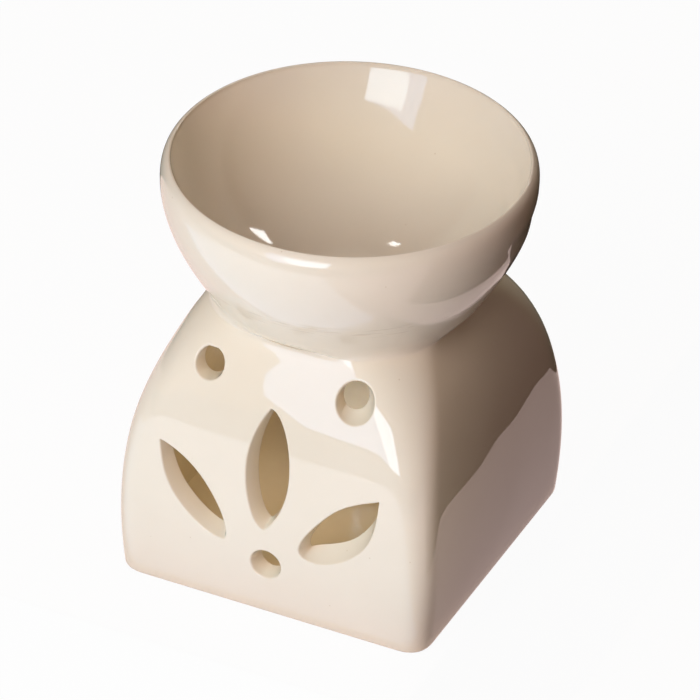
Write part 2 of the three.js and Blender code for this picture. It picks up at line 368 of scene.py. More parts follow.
def square_form(name, levels):
    """A closed solid on a rounded square plan: an outline is extruded from level to level. A level
    is the half width, the corner's reach, the height and how square the corner is."""
    half, corner, height = levels[0][:3]
    deselect_all()
    bpy.ops.mesh.primitive_plane_add(size=2 * half, location=(0, 0, height))
    form = bpy.context.object
    form.name = name
    bpy.ops.object.transform_apply()
    bpy.ops.object.mode_set(mode="EDIT")
    bpy.ops.mesh.bevel(offset=corner, segments=CORNER_SEGMENTS, affect="VERTICES")
    for edge in bmesh.from_edit_mesh(form.data).edges:
        edge.select_set(edge.calc_length() > half)
    bpy.ops.mesh.subdivide(number_cuts=FLAT_CUTS)
    bpy.ops.mesh.select_all(action="SELECT")
    set_out(form, (half, corner, height, 2), levels[0])
    for old, new in zip(levels, levels[1:]):
        bpy.ops.mesh.extrude_region_move()
        set_out(form, old, new)
    turn_faces_outward(form)
    bpy.ops.object.mode_set(mode="OBJECT")
    for vertex in form.data.vertices:
        x, y, z = vertex.co
        bulge = FACE_CROWN * math.sin(math.pi * min(z / COLLAR_HEIGHT, 1))
        if abs(x) > abs(y):
            vertex.co.x += math.copysign(bulge * (1 - (y / x) ** 2), x)
        elif y:
            vertex.co.y += math.copysign(bulge * (1 - (x / y) ** 2), y)
        vertex.co.x += (SHOULDER_LEAN * ease(*SHOULDER_LEAN_GROWS, z)
                        * (1 - ease(*SHOULDER_LEAN_FADES, z)))
    return form


def side_levels(bottom, top, wall):
    """Levels of the body's side between two heights, a wall's thickness inside its surface."""
    count = math.ceil((top - bottom) / RING_STEP)
    levels = []
    for index in range(count + 1):
        height = bottom + (top - bottom) * index / count
        half, corner, power = side_at(height)
        levels.append((half - wall, max(corner - wall, INNER_CORNER_LEAST), height, power))
    return levels


# The foot's edge is rounded under, and above the collar the neck turns out to the dish's seat.
foot_levels = []
for index in range(FOOT_STEPS):
    turn = math.radians(90 * index / FOOT_STEPS)
    height = FOOT_ROUNDING * (1 - math.cos(turn))
    half, corner, power = side_at(height)
    drawn_in = FOOT_ROUNDING * (1 - math.sin(turn))
    foot_levels.append((half - drawn_in, corner - drawn_in, height, power))
neck_levels = [neck_at(index / NECK_STEPS) for index in range(1, NECK_STEPS + 1)]
body = square_form("burner_body_glazed", foot_levels
                   + side_levels(FOOT_ROUNDING, COLLAR_HEIGHT, 0) + neck_levels)

# The glaze softens the hollow where the side turns out again under the dish.
NECK_SOFTENED = (63.6 * MM, 68.2 * MM)
NECK_SOFTENINGS = 9


def select_only(piece):
    """Selects one piece alone, as the one that the next operator works on."""
    deselect_all()
    bpy.context.view_layer.objects.active = piece
    piece.select_set(True)


select_only(body)
for element in (*body.data.polygons, *body.data.edges):
    element.select = False
for vertex in body.data.vertices:
    vertex.select = NECK_SOFTENED[0] < vertex.co.z < NECK_SOFTENED[1]
bpy.ops.object.mode_set(mode="EDIT")
bpy.ops.mesh.vertices_smooth(factor=0.5, repeat=NECK_SOFTENINGS)
bpy.ops.object.mode_set(mode="OBJECT")
bpy.ops.object.shade_smooth()

# The forms of the hollow inside the walls and of the recess under the floor.
chamber = square_form("chamber", side_levels(FLOOR_TOP, COLLAR_HEIGHT, BODY_WALL)
                      + [(NECK_BORE, NECK_BORE, NECK_TOP + CUT_PAST, 2)])
recess = square_form("recess", [(RECESS_HALF, FOOT_CORNER, -CUT_PAST, 2),
                                (RECESS_HALF, FOOT_CORNER, RECESS_DEPTH, 2)])

# Cut-outs, each with the outline where the knife or punch went in and the tighter one where it came
# out. A leaf is its length, the middle of its chord, its lean, and for its left and right side the
# depth of the bow and how blunt the lower and the upper end are: 1 is pointed, 0.5 is round. A hole
# is its radius, its middle, and the height above which the punch left it flat.
LEAF_POINTS = 72
HOLE_POINTS = 64
MIDDLE_LEAF = ((29.4 * MM, -1.5 * MM, 38.4 * MM, -1.7, (4.6 * MM, 0.6, 0.95), (5.9 * MM, 0.8, 0.6)),
               (27.6 * MM, -1.2 * MM, 38.6 * MM, -1.7, (3.7 * MM, 0.6, 0.95), (5.0 * MM, 0.8, 0.6)))
LEFT_LEAF = ((26.6 * MM, -19.4 * MM, 28.4 * MM, -39.8, (4.5 * MM, 0.62, 1.1), (4.5 * MM, 0.6, 0.9)),
             (23.8 * MM, -19.6 * MM, 28.9 * MM, -39.8, (3.5 * MM, 0.7, 1.1), (3.9 * MM, 0.7, 0.9)))
RIGHT_LEAF = ((26.5 * MM, 17.7 * MM, 29.2 * MM, 42.1, (4.0 * MM, 0.35, 1.15), (6.6 * MM, 0.6, 1.1)),
              (25.4 * MM, 17.9 * MM, 29.4 * MM, 42.1, (3.6 * MM, 0.5, 1.15), (4.2 * MM, 1.5, 0.9)))
LEFT_HOLE = ((3.5 * MM, -18.5 * MM, 58.9 * MM, 62.2 * MM),
             (3.1 * MM, -18.4 * MM, 58.2 * MM, 62 * MM))
RIGHT_HOLE = ((4.5 * MM, 17.4 * MM, 59.2 * MM, 64 * MM),
              (3.1 * MM, 16 * MM, 58.7 * MM, 64 * MM))
LOWER_HOLE = ((3.7 * MM, -0.3 * MM, 14.2 * MM, 20 * MM),
              (3.0 * MM, -0.2 * MM, 14.4 * MM, 20 * MM))
ARCH_HALF = 25 * MM
ARCH_SPRING = 20 * MM
ARCH_SIDE_STEPS = 12
ARCH_HEAD_STEPS = 40
SILL_LIFT = 0.02 * MM
EDGE_ROUNDING = 0.5 * MM
EDGE_TURNS = (90, 65, 45, 25)
CUT_CLEAR = 0.6 * MM
CUT_OUTER_END = 50 * MM
CUT_INNER_END = 20 * MM
WELL_OUTSIDE = 100 * MM


def leaf_outline(length, x, height, lean, left_side, right_side):
    """Points round a leaf, up its right side and down its left one."""
    turn = math.radians(lean)
    points = []
    for index in range(LEAF_POINTS):
        angle = 2 * math.pi * (index + 0.5) / LEAF_POINTS
        along = -math.cos(angle)
        bow, lower, upper = right_side if angle < math.pi else left_side
        off = bow * (1 - along * along) ** (lower if along < 0 else upper)
        off = math.copysign(off, math.pi - angle)
        along *= length / 2
        points.append(Vector((x + along * math.sin(turn) + off * math.cos(turn),
                              height + along * math.cos(turn) - off * math.sin(turn))))
    return points


def hole_outline(radius, x, height, flat_above):
    """Points round a punched hole, whose top the punch left flat at a height."""
    points = []
    for index in range(HOLE_POINTS):
        angle = 2 * math.pi * (index + 0.5) / HOLE_POINTS
        points.append(Vector((x + radius * math.cos(angle),
                              min(height + radius * math.sin(angle), flat_above))))
    return points


def arch_outline(sill):
    """Points round the doorway: up its right side, over the round head and down to the sill."""
    spring = FLOOR_TOP + ARCH_SPRING
    side_steps = range(1, ARCH_SIDE_STEPS)
    points = [Vector((ARCH_HALF, sill + (spring - sill) * index / ARCH_SIDE_STEPS))
              for index in side_steps]
    for index in range(ARCH_HEAD_STEPS + 1):
        turn = math.pi * index / ARCH_HEAD_STEPS
        points.append(Vector((ARCH_HALF * math.cos(turn), spring + ARCH_HALF * math.sin(turn))))
    points += [Vector((-ARCH_HALF, spring - (spring - sill) * index / ARCH_SIDE_STEPS))
               for index in side_steps]
    points += [Vector((ARCH_HALF * (index / ARCH_SIDE_STEPS - 1), sill))
               for index in range(2 * ARCH_SIDE_STEPS + 1)]
    return points


def solid_tree(solid):
    """A solid's faces, for finding where a line meets them and what lies nearest."""
    return BVHTree.FromPolygons([vertex.co for vertex in solid.data.vertices],
                                [polygon.vertices for polygon in solid.data.polygons])


outer_skin = solid_tree(body)
inner_skin = solid_tree(chamber)


def cutter(outside, inside, facing=-1, lowest=0):
    """A solid that cuts through the front wall, or with facing 1 the back wall, along an outline
    on the outer skin and one on the inner skin. It flares where it meets either, so that the edges
    come out rounded, as glaze leaves them."""
    turns = [math.radians(angle) for angle in EDGE_TURNS]
    flare = [(EDGE_ROUNDING * (1 - math.sin(a)), EDGE_ROUNDING * (1 - math.cos(a))) for a in turns]
    reach = (flare[-1][1] + CUT_CLEAR) / math.tan(turns[-1])
    flare.append((flare[-1][0] + reach, -CUT_CLEAR))
    rings = []
    for outline, skin in ((outside, outer_skin), (inside, inner_skin)):
        rows = []
        for offset, depth in flare:
            row = []
            for index, point in enumerate(outline):
                run = outline[(index + 1) % len(outline)] - outline[index - 1]
                out = Vector((run.y, -run.x)).normalized()
                x, z = point + out * offset
                if skin is inner_skin:
                    z = max(z, lowest)
                start = Vector((x, facing * WELL_OUTSIDE, z))
                place, normal = skin.ray_cast(start, Vector((0, -facing, 0)))[:2]
                into_wall = -depth if skin is outer_skin else depth
                row.append(place + normal * into_wall)
            rows.append(row)
        rings.append(rows)
    outer_end = [Vector((p.x, facing * CUT_OUTER_END, p.z)) for p in rings[0][-1]]
    inner_end = [Vector((p.x, facing * CUT_INNER_END, p.z)) for p in rings[1][-1]]
    rows = [outer_end] + rings[0][::-1] + rings[1] + [inner_end]
    mesh = bpy.data.meshes.new("cutter")
    form = bmesh.new()
    loops = [[form.verts.new(place) for place in row] for row in rows]
    for one, two in zip(loops, loops[1:]):
        for index in range(len(one)):
            form.faces.new((one[index - 1], one[index], two[index], two[index - 1]))
    form.faces.new(loops[0])
    form.faces.new(loops[-1])
    bmesh.ops.recalc_face_normals(form, faces=form.faces)
    form.to_mesh(mesh)
    form.free()
    solid = bpy.data.objects.new("cutter", mesh)
    scene.collection.objects.link(solid)
    return solid


def cut(piece, *cutters):
    """Cuts these solids out of a piece and throws the cutters away."""
    for solid in cutters:
        select_only(piece)
        modifier = piece.modifiers.new("cut", "BOOLEAN")
        modifier.operation = "DIFFERENCE"
        modifier.solver = "EXACT"
        modifier.object = solid
        bpy.ops.object.modifier_apply(modifier="cut")
        bpy.data.objects.remove(solid)


uncut = body.copy()
uncut.data = body.data.copy()
scene.collection.objects.link(uncut)
leaves = [cutter(leaf_outline(*outside), leaf_outline(*inside))
          for outside, inside in (MIDDLE_LEAF, LEFT_LEAF, RIGHT_LEAF)]
holes = [cutter(hole_outline(*outside), hole_outline(*inside))
         for outside, inside in (LEFT_HOLE, RIGHT_HOLE, LOWER_HOLE)]
doorway = cutter(arch_outline(FLOOR_TOP), arch_outline(FLOOR_TOP + SILL_LIFT), 1,
                 FLOOR_TOP + SILL_LIFT)
cut(body, chamber, recess, doorway, *leaves, *holes)

# The outer skin keeps the smooth run of its reflections right up to the cuts.
ON_SKIN = 0.02 * MM
BODY_SHARP_FROM = 38
select_only(body)
bpy.ops.object.shade_smooth_by_angle(angle=math.radians(BODY_SHARP_FROM))
skin_group = body.vertex_groups.new(name="outer skin")
skin_group.add([vertex.index for vertex in body.data.vertices
                if outer_skin.find_nearest(vertex.co)[3] < ON_SKIN], 1, "REPLACE")
transfer = body.modifiers.new("skin normals", "DATA_TRANSFER")
transfer.object = uncut
transfer.use_loop_data = True
transfer.data_types_loops = {"CUSTOM_NORMAL"}
transfer.loop_mapping = "POLYINTERP_NEAREST"
transfer.vertex_group = "outer skin"
bpy.ops.object.modifier_apply(modifier="skin normals")
bpy.data.objects.remove(uncut)

# The glaze is clear and glossy over a warm cream clay. It went on by dipping, so that it lies in
# slow waves and pinholes here and there, and the foot's rim was wiped bare for the kiln shelf. The
# bare clay's grain is drawn coarser than the real one, so that it shows.
GLAZE_PALE = "eadeca"
GLAZE_WARM = "e5d8c2"
GLAZE_SPECK = "cdb99b"
BARE_CLAY = "d8c6a9"
TONE_WAVE = 26 * MM
SURFACE_WAVE = 17 * MM
WAVE_DEPTH = 0.15 * MM
PEEL_GRAIN = 1.4 * MM
PEEL_DEPTH = 0.0006 * MM
GLAZE_ROUGHNESS = (0.008, 0.02)
GLAZE_IOR = 1.5
SPECK_SPACING = 3.2 * MM
SPECK_SIZE = 0.055
SPECK_RARITY = 0.8
SPECK_TINT = 0.6
BARE_BELOW = 0.45 * MM
CLAY_GRAIN = 0.6 * MM
CLAY_RELIEF = 0.05 * MM
CLAY_ROUGHNESS = 0.85

glaze, glaze_output = new_material("clear glaze on cream earthenware")
glaze_place = add_node(glaze, "TexCoord").outputs["Object"]
glaze_tone = add_node(glaze, "TexNoise", vector=glaze_place, scale=1 / TONE_WAVE, detail=3,
                      roughness=0.6)
glaze_ground = add_node(glaze, "MixRGB", fac=glaze_tone.outputs["Fac"], color1=linear(GLAZE_PALE),
                        color2=linear(GLAZE_WARM))
speck_cells = add_node(glaze, "TexVoronoi", vector=glaze_place, scale=1 / SPECK_SPACING)
speck_near = add_node(glaze, "Math", operation="LESS_THAN", in0=speck_cells.outputs["Distance"],
                      in1=SPECK_SIZE)
speck_some = add_node(glaze, "SeparateXYZ", vector=speck_cells.outputs["Color"])
speck_here = add_node(glaze, "Math", operation="GREATER_THAN", in0=speck_some.outputs["X"],
                      in1=SPECK_RARITY)
speck = add_node(glaze, "Math", operation="MULTIPLY", in0=speck_near, in1=speck_here)
speck_faint = add_node(glaze, "Math", operation="MULTIPLY", in0=speck, in1=SPECK_TINT)
glaze_specked = add_node(glaze, "MixRGB", fac=speck_faint, color1=glaze_ground,
                         color2=linear(GLAZE_SPECK))
glaze_wave = add_node(glaze, "TexNoise", vector=glaze_place, scale=1 / SURFACE_WAVE, detail=0)
glaze_waved = add_node(glaze, "Bump", height=glaze_wave.outputs["Fac"], distance=WAVE_DEPTH)
glaze_peel = add_node(glaze, "TexNoise", vector=glaze_place, scale=1 / PEEL_GRAIN, detail=1)
glaze_relief = add_node(glaze, "Bump", height=glaze_peel.outputs["Fac"], distance=PEEL_DEPTH,
                        normal=glaze_waved)
glaze_gloss = add_node(glaze, "MapRange", name="gloss", value=glaze_tone.outputs["Fac"],
                       to_min=GLAZE_ROUGHNESS[0], to_max=GLAZE_ROUGHNESS[1])
glaze_height = add_node(glaze, "SeparateXYZ", vector=glaze_place)
foot_bare = add_node(glaze, "Math", operation="LESS_THAN", in0=glaze_height.outputs["Z"],
                     in1=BARE_BELOW)
glazed = add_node(glaze, "BsdfPrincipled", name="glazed", base_color=glaze_specked,
                  roughness=glaze_gloss, ior=GLAZE_IOR, normal=glaze_relief)
clay_grain = add_node(glaze, "TexNoise", vector=glaze_place, scale=1 / CLAY_GRAIN, detail=4)
clay_relief = add_node(glaze, "Bump", height=clay_grain.outputs["Fac"], distance=CLAY_RELIEF)
bare_clay = add_node(glaze, "BsdfPrincipled", base_color=linear(BARE_CLAY),
                     roughness=CLAY_ROUGHNESS, normal=clay_relief)
glaze_all = add_node(glaze, "MixShader", in0=foot_bare, in1=glazed, in2=bare_clay)
surface(glaze, glaze_output, glaze_all)

# Inside the chamber the glaze was poured round and lies thicker, and it is drawn yellower.
# That yellower colour is partly the thicker glaze and partly painted warm shade of the closed
# chamber.
POOLED_AND_SHADED_PALE = "e9dabb"
POOLED_AND_SHADED_WARM = "dfcca6"
POOL_WIDTH = 14 * MM
POOL_DEPTH = 0.3 * MM
POOLED_ROUGHNESS = 0.12
ON_CHAMBER = 0.03 * MM
pooled_and_shaded, pooled_output = new_material("thick glaze inside the chamber")
pooled_place = add_node(pooled_and_shaded, "TexCoord").outputs["Object"]
pooled_tone = add_node(pooled_and_shaded, "TexNoise", vector=pooled_place, scale=1 / POOL_WIDTH, detail=3)
pooled_and_shaded_colour = add_node(pooled_and_shaded, "MixRGB", fac=pooled_tone.outputs["Fac"],
                         color1=linear(POOLED_AND_SHADED_PALE), color2=linear(POOLED_AND_SHADED_WARM))
pooled_relief = add_node(pooled_and_shaded, "Bump", height=pooled_tone.outputs["Fac"], distance=POOL_DEPTH)
pooled_and_shaded_shader = add_node(pooled_and_shaded, "BsdfPrincipled", base_color=pooled_and_shaded_colour,
                         roughness=POOLED_ROUGHNESS, ior=GLAZE_IOR, normal=pooled_relief)
surface(pooled_and_shaded, pooled_output, pooled_and_shaded_shader)
body.data.materials.clear()
body.data.materials.append(glaze)
body.data.materials.append(pooled_and_shaded)
# Faces on the chamber's inner skin take the yellower glaze, which is partly painted shade.
for polygon in body.data.polygons:
    inside = inner_skin.find_nearest(polygon.center)[3] < ON_CHAMBER
    polygon.material_index = 1 if inside else 0
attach(body, "burner")
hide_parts("burner_body")


# Dish: a round earthenware bowl, thrown or slip-cast on its own and luted to the body's neck with
# slip. The glaze fills the seam with a soft fillet that runs down onto the neck.
DISH_FOOT = NECK_TOP
WALL_HANDLES = [(r * MM, z * MM)
                for r, z in ((31.1, 0), (34.5, 6), (42.28, 16.3), (42.28, 27.3))]
ROLL_HANDLES = [(r * MM, z * MM)
                for r, z in ((42.28, 27.3), (42.28, 29.4), (41.85, 31.4), (40.5, 32.3))]
INSIDE_HANDLES = [(r * MM, z * MM)
                  for r, z in ((40.05, 32.05), (36.37, 19.37), (26, 3.9), (4, 3.9))]
LIP_EDGE = 0.35 * MM
DISH_BASE_RINGS = (0, 12 * MM, 24 * MM, NECK_RADIUS - 0.4 * MM)
WALL_STEPS = 32
ROLL_STEPS = 16
LIP_STEPS = 8
INSIDE_STEPS = 48
DISH_SPOKES = 160
FILLET_UP = 2.8 * MM
FILLET_DOWN = 1.5 * MM
FILLET_OUT = 0.2 * MM
FILLET_SUNK = 0.02 * MM
FILLET_STEPS = 12
FILLET_FROM = NECK_RADIUS - 0.2 * MM
NECK_SLOPE_OVER = 0.3 * MM
FAR_ALONG = 100
MERGE_WITHIN = 0.005 * MM
SAME_HEIGHT = 0.01 * MM
TURNED_SHARP_FROM = 40


def turned(name, profile, spokes, base, centre=(0, 0)):
    """A closed form of revolution: a profile of radius and height, from axis to axis, is spun and
    stood on its base at a place on the plan."""
    mesh = bpy.data.meshes.new(name)
    mesh.from_pydata([(radius, 0, base + height) for radius, height in profile],
                     [(index, index + 1) for index in range(len(profile) - 1)], [])
    form = bpy.data.objects.new(name, mesh)
    scene.collection.objects.link(form)
    select_only(form)
    bpy.ops.object.mode_set(mode="EDIT")
    bpy.ops.mesh.select_all(action="SELECT")
    bpy.ops.mesh.spin(steps=spokes, angle=2 * math.pi, center=(0, 0, 0), axis=(0, 0, 1))
    bpy.ops.mesh.select_all(action="SELECT")
    bpy.ops.mesh.remove_doubles(threshold=MERGE_WITHIN)
    turn_faces_outward(form)
    bpy.ops.transform.translate(value=(centre[0], centre[1], 0))
    bpy.ops.object.mode_set(mode="OBJECT")
    bpy.ops.object.shade_smooth_by_angle(angle=math.radians(TURNED_SHARP_FROM))
    return form


wall_points = [bezier(WALL_HANDLES, index / WALL_STEPS) for index in range(WALL_STEPS + 1)]
roll_points = [bezier(ROLL_HANDLES, index / ROLL_STEPS) for index in range(1, ROLL_STEPS + 1)]
inside_points = [bezier(INSIDE_HANDLES, index / INSIDE_STEPS)
                 for index in range(INSIDE_STEPS + 1)]
fillet_top = min((point for point in wall_points if point[1] > FILLET_UP), key=lambda p: p[1])
fillet_points = [(NECK_RADIUS, fillet_top[1] + (-FILLET_DOWN - fillet_top[1])
                  * (1 - index / FILLET_STEPS)) for index in range(FILLET_STEPS)]

# The lip's narrow edge is an arc from the end of the roll to the start of the inside.
roll_end = Vector(ROLL_HANDLES[3]) - Vector(ROLL_HANDLES[2])
roll_turn = math.degrees(math.atan2(-roll_end.x, roll_end.y))
inside_start = Vector(INSIDE_HANDLES[0]) - Vector(INSIDE_HANDLES[1])
inside_turn = 180 - math.degrees(math.atan2(inside_start.x, inside_start.y))
edge_middle = Vector(ROLL_HANDLES[3]) - LIP_EDGE * Vector((math.cos(math.radians(roll_turn)),
                                                           math.sin(math.radians(roll_turn))))
edge_points = []
for index in range(1, LIP_STEPS):
    turn = math.radians(roll_turn + (inside_turn - roll_turn) * index / LIP_STEPS)
    edge_points.append((edge_middle.x + LIP_EDGE * math.cos(turn),
                        edge_middle.y + LIP_EDGE * math.sin(turn)))
dish_profile = ([(radius, 0) for radius in DISH_BASE_RINGS]
                + fillet_points + [p for p in wall_points if p[1] >= fillet_top[1]]
                + roll_points + edge_points + inside_points + [(0, INSIDE_HANDLES[3][1])])
dish = turned("oil_bowl_glazed", dish_profile, DISH_SPOKES, DISH_FOOT)

# The glaze's fillet curves from the dish's wall down onto the neck, from the line of the one to the
# line of the other, and where these don't meet, round a point just outside the neck.
wall_above = next(point for point in wall_points if point[1] > fillet_top[1])
high = Vector(fillet_top)
wall_way = high - Vector(wall_above)
for vertex in dish.data.vertices:
    rise = vertex.co.z - DISH_FOOT
    flat = Vector((vertex.co.x, vertex.co.y, 0))
    if flat.length > FILLET_FROM and rise < fillet_top[1] - SAME_HEIGHT:
        t = (rise + FILLET_DOWN) / (fillet_top[1] + FILLET_DOWN)
        out = flat.normalized()
        on_neck = []
        for depth in (FILLET_DOWN + NECK_SLOPE_OVER, FILLET_DOWN):
            start = out * WELL_OUTSIDE + Vector((0, 0, DISH_FOOT - depth))
            on_neck.append(Vector((outer_skin.ray_cast(start, -out)[0].xy.length, -depth)))
        neck_way = on_neck[1] - on_neck[0]
        low = on_neck[1] - Vector((FILLET_SUNK, 0))
        seam = intersect_line_line_2d(low, low + neck_way * FAR_ALONG,
                                      high, high + wall_way * FAR_ALONG)
        if seam is None:
            seam = Vector((NECK_RADIUS + FILLET_OUT, 0))
        place = low * (1 - t) ** 2 + seam * 2 * t * (1 - t) + high * t * t
        vertex.co = out * place.x + Vector((0, 0, DISH_FOOT + place.y))

# The rim warped a little in the kiln: on the right it leans out over a flatter wall.
WARP_TOWARDS = direction(125, 0)
WARP_FROM = 17.5 * MM
WARP_IN = 0.45 * MM
WARP_OUT = 0.4 * MM
WARP_TURN = 0.62
for vertex in dish.data.vertices:
    flat = Vector((vertex.co.x, vertex.co.y, 0))
    rise = (vertex.co.z - DISH_FOOT - WARP_FROM) / (ROLL_HANDLES[3][1] - WARP_FROM)
    if rise > 0 and flat.length > 0:
        share = max(flat.normalized().dot(WARP_TOWARDS), 0) ** 2
        if rise < WARP_TURN:
            out = -WARP_IN * math.sin(math.pi * rise / WARP_TURN) ** 2
        else:
            out = WARP_OUT * ease(WARP_TURN, 1, rise)
        vertex.co += flat.normalized() * share * out

# The dish was dipped once, and its thinner coat is a little softer in its gloss.
DISH_ROUGHNESS = (0.035, 0.07)
dish_glaze = glaze.copy()
dish_glaze.name = "clear glaze on the dish"
dish_gloss = dish_glaze.node_tree.nodes["gloss"]
dish_gloss.inputs["To Min"].default_value = DISH_ROUGHNESS[0]
dish_gloss.inputs["To Max"].default_value = DISH_ROUGHNESS[1]

# Under the dish a few short marks go round it, where its seam was fettled with a wet sponge.
MARK_BAND = (75.6 * MM, 77.2 * MM, 79.2 * MM, 80.8 * MM)
MARK_WIDTH = 0.7 * MM
MARKS_PER_RADIAN = 4.2
MARK_DEPTH = 0.04 * MM
MARK_EDGE = (0.56, 0.64)
MARK_BROWN = "c2a98a"
MARK_TINT = 0.25
mark_axes = add_node(dish_glaze, "SeparateXYZ",
                     vector=add_node(dish_glaze, "TexCoord").outputs["Object"])
mark_turn = add_node(dish_glaze, "Math", operation="ARCTAN2", in0=mark_axes.outputs["Y"],
                     in1=mark_axes.outputs["X"])
mark_row = add_node(dish_glaze, "CombineXYZ", x=mark_turn, z=mark_axes.outputs["Z"])
mark_long = add_node(dish_glaze, "Mapping", vector=mark_row,
                     scale=(MARKS_PER_RADIAN, 1, 1 / MARK_WIDTH))
mark_noise = add_node(dish_glaze, "TexNoise", vector=mark_long, scale=1, detail=2)
mark_here = add_node(dish_glaze, "MapRange", interpolation_type="SMOOTHSTEP",
                     value=mark_noise.outputs["Fac"], from_min=MARK_EDGE[0], from_max=MARK_EDGE[1])
mark_above = add_node(dish_glaze, "MapRange", interpolation_type="SMOOTHSTEP",
                      value=mark_axes.outputs["Z"], from_min=MARK_BAND[0], from_max=MARK_BAND[1])
mark_below = add_node(dish_glaze, "MapRange", interpolation_type="SMOOTHSTEP",
                      value=mark_axes.outputs["Z"], from_min=MARK_BAND[3], from_max=MARK_BAND[2])
mark_band = add_node(dish_glaze, "Math", operation="MULTIPLY", in0=mark_above, in1=mark_below)
mark_facing = add_node(dish_glaze, "SeparateXYZ",
                       vector=add_node(dish_glaze, "NewGeometry").outputs["True Normal"])
mark_under = add_node(dish_glaze, "Math", operation="LESS_THAN", in0=mark_facing.outputs["Z"],
                      in1=0)
mark_outside = add_node(dish_glaze, "Math", operation="MULTIPLY", in0=mark_band, in1=mark_under)
mark = add_node(dish_glaze, "Math", operation="MULTIPLY", in0=mark_here, in1=mark_outside)
mark_faint = add_node(dish_glaze, "Math", operation="MULTIPLY", in0=mark, in1=MARK_TINT)
dish_glazed = dish_glaze.node_tree.nodes["glazed"]
mark_colour = add_node(dish_glaze, "MixRGB", fac=mark_faint,
                       color1=dish_glazed.inputs["Base Color"].links[0].from_socket,
                       color2=linear(MARK_BROWN))
mark_relief = add_node(dish_glaze, "Bump", invert=True, height=mark, distance=MARK_DEPTH,
                       normal=dish_glazed.inputs["Normal"].links[0].from_socket)
dish_glaze.node_tree.links.new(mark_colour.outputs[0], dish_glazed.inputs["Base Color"])
dish_glaze.node_tree.links.new(mark_relief.outputs[0], dish_glazed.inputs["Normal"])
dish.data.materials.append(dish_glaze)
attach(dish, "burner")
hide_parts("oil_bowl")


# Tealight cup: thin aluminium sheet, deep drawn, with a bead rolled round its edge and a shallow
# ring pressed into its base. It stands loose on the chamber's floor.
cup_low, cup_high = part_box("tealight_cup")
CUP_PLACE = ((cup_low[0] + cup_high[0]) / 2, (cup_low[1] + cup_high[1]) / 2)
CUP_BASE = cup_low[2]
CUP_RADIUS = (cup_high[0] - cup_low[0]) / 2
CUP_HEIGHT = cup_high[2] - cup_low[2]
CUP_BEAD = 0.9 * MM
CUP_SHEET = 0.25 * MM
CUP_ROUNDING = 1.5 * MM
CUP_RING = 12 * MM
CUP_RING_SLOPE = 1.2 * MM
CUP_RING_RISE = 0.4 * MM
CUP_SPOKES = 128
CORNER_TURNS = range(0, 91, 15)
BEAD_TURNS = range(-150, 121, 15)
BEAD_TUCK = 0.05 * MM
BEAD_DROP = 0.2 * MM

wall_out = CUP_RADIUS - CUP_BEAD
wall_in = wall_out - CUP_SHEET
bead_radius = CUP_BEAD / 2
bead_height = CUP_HEIGHT - bead_radius
foot_turns = [math.radians(angle) for angle in CORNER_TURNS]
cup_outside = [(0, CUP_RING_RISE), (CUP_RING - CUP_RING_SLOPE, CUP_RING_RISE), (CUP_RING, 0)]
cup_outside += [(wall_out - CUP_ROUNDING * (1 - math.sin(a)), CUP_ROUNDING * (1 - math.cos(a)))
                for a in foot_turns]
cup_bead = [(wall_out + bead_radius * (1 + math.cos(a)), bead_height + bead_radius * math.sin(a))
            for a in [math.radians(angle) for angle in BEAD_TURNS]]
cup_bead.append((wall_in + BEAD_TUCK, CUP_HEIGHT - BEAD_TUCK))
inner_rounding = CUP_ROUNDING - CUP_SHEET
cup_inside = [(wall_in, CUP_HEIGHT - BEAD_DROP)]
cup_inside += [(wall_in - inner_rounding * (1 - math.sin(a)),
                CUP_SHEET + inner_rounding * (1 - math.cos(a))) for a in reversed(foot_turns)]
cup_inside += [(CUP_RING, CUP_SHEET), (CUP_RING - CUP_RING_SLOPE, CUP_RING_RISE + CUP_SHEET),
               (0, CUP_RING_RISE + CUP_SHEET)]
cup = turned("tealight_cup_drawn", cup_outside + cup_bead + cup_inside, CUP_SPOKES, CUP_BASE,
             CUP_PLACE)

# Drawn aluminium: satin, with fine upright draw marks that spread its highlights sideways. They
# are drawn coarser than real ones, so that they show.
ALUMINIUM_PALE = "d3d5d8"
ALUMINIUM_DARK = "bfc2c6"
ALUMINIUM_ROUGHNESS = (0.22, 0.34)
DRAW_MARK = 0.5 * MM
DRAW_MARK_DEPTH = 0.01 * MM
DRAW_MARK_STRETCH = 0.03
DENT_WIDTH = 7 * MM
DENT_DEPTH = 0.08 * MM
aluminium, aluminium_output = new_material("drawn aluminium sheet")
cup_place = add_node(aluminium, "TexCoord").outputs["Object"]
cup_stretch = add_node(aluminium, "Mapping", vector=cup_place, scale=(1, 1, DRAW_MARK_STRETCH),
                       location=(-CUP_PLACE[0], -CUP_PLACE[1], 0))
cup_marks = add_node(aluminium, "TexNoise", vector=cup_stretch, scale=1 / DRAW_MARK, detail=2)
cup_dents = add_node(aluminium, "TexNoise", vector=cup_place, scale=1 / DENT_WIDTH, detail=0)
cup_dented = add_node(aluminium, "Bump", height=cup_dents.outputs["Fac"], distance=DENT_DEPTH)
cup_relief = add_node(aluminium, "Bump", height=cup_marks.outputs["Fac"], distance=DRAW_MARK_DEPTH,
                      normal=cup_dented)
cup_tone = add_node(aluminium, "MixRGB", fac=cup_marks.outputs["Fac"],
                    color1=linear(ALUMINIUM_PALE), color2=linear(ALUMINIUM_DARK))
cup_gloss = add_node(aluminium, "MapRange", value=cup_marks.outputs["Fac"],
                     to_min=ALUMINIUM_ROUGHNESS[0], to_max=ALUMINIUM_ROUGHNESS[1])
cup_shader = add_node(aluminium, "BsdfPrincipled", base_color=cup_tone, metallic=1.0,
                      roughness=cup_gloss, normal=cup_relief)
surface(aluminium, aluminium_output, cup_shader)
cup.data.materials.append(aluminium)
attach(cup, "tealight")
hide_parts("tealight_cup")


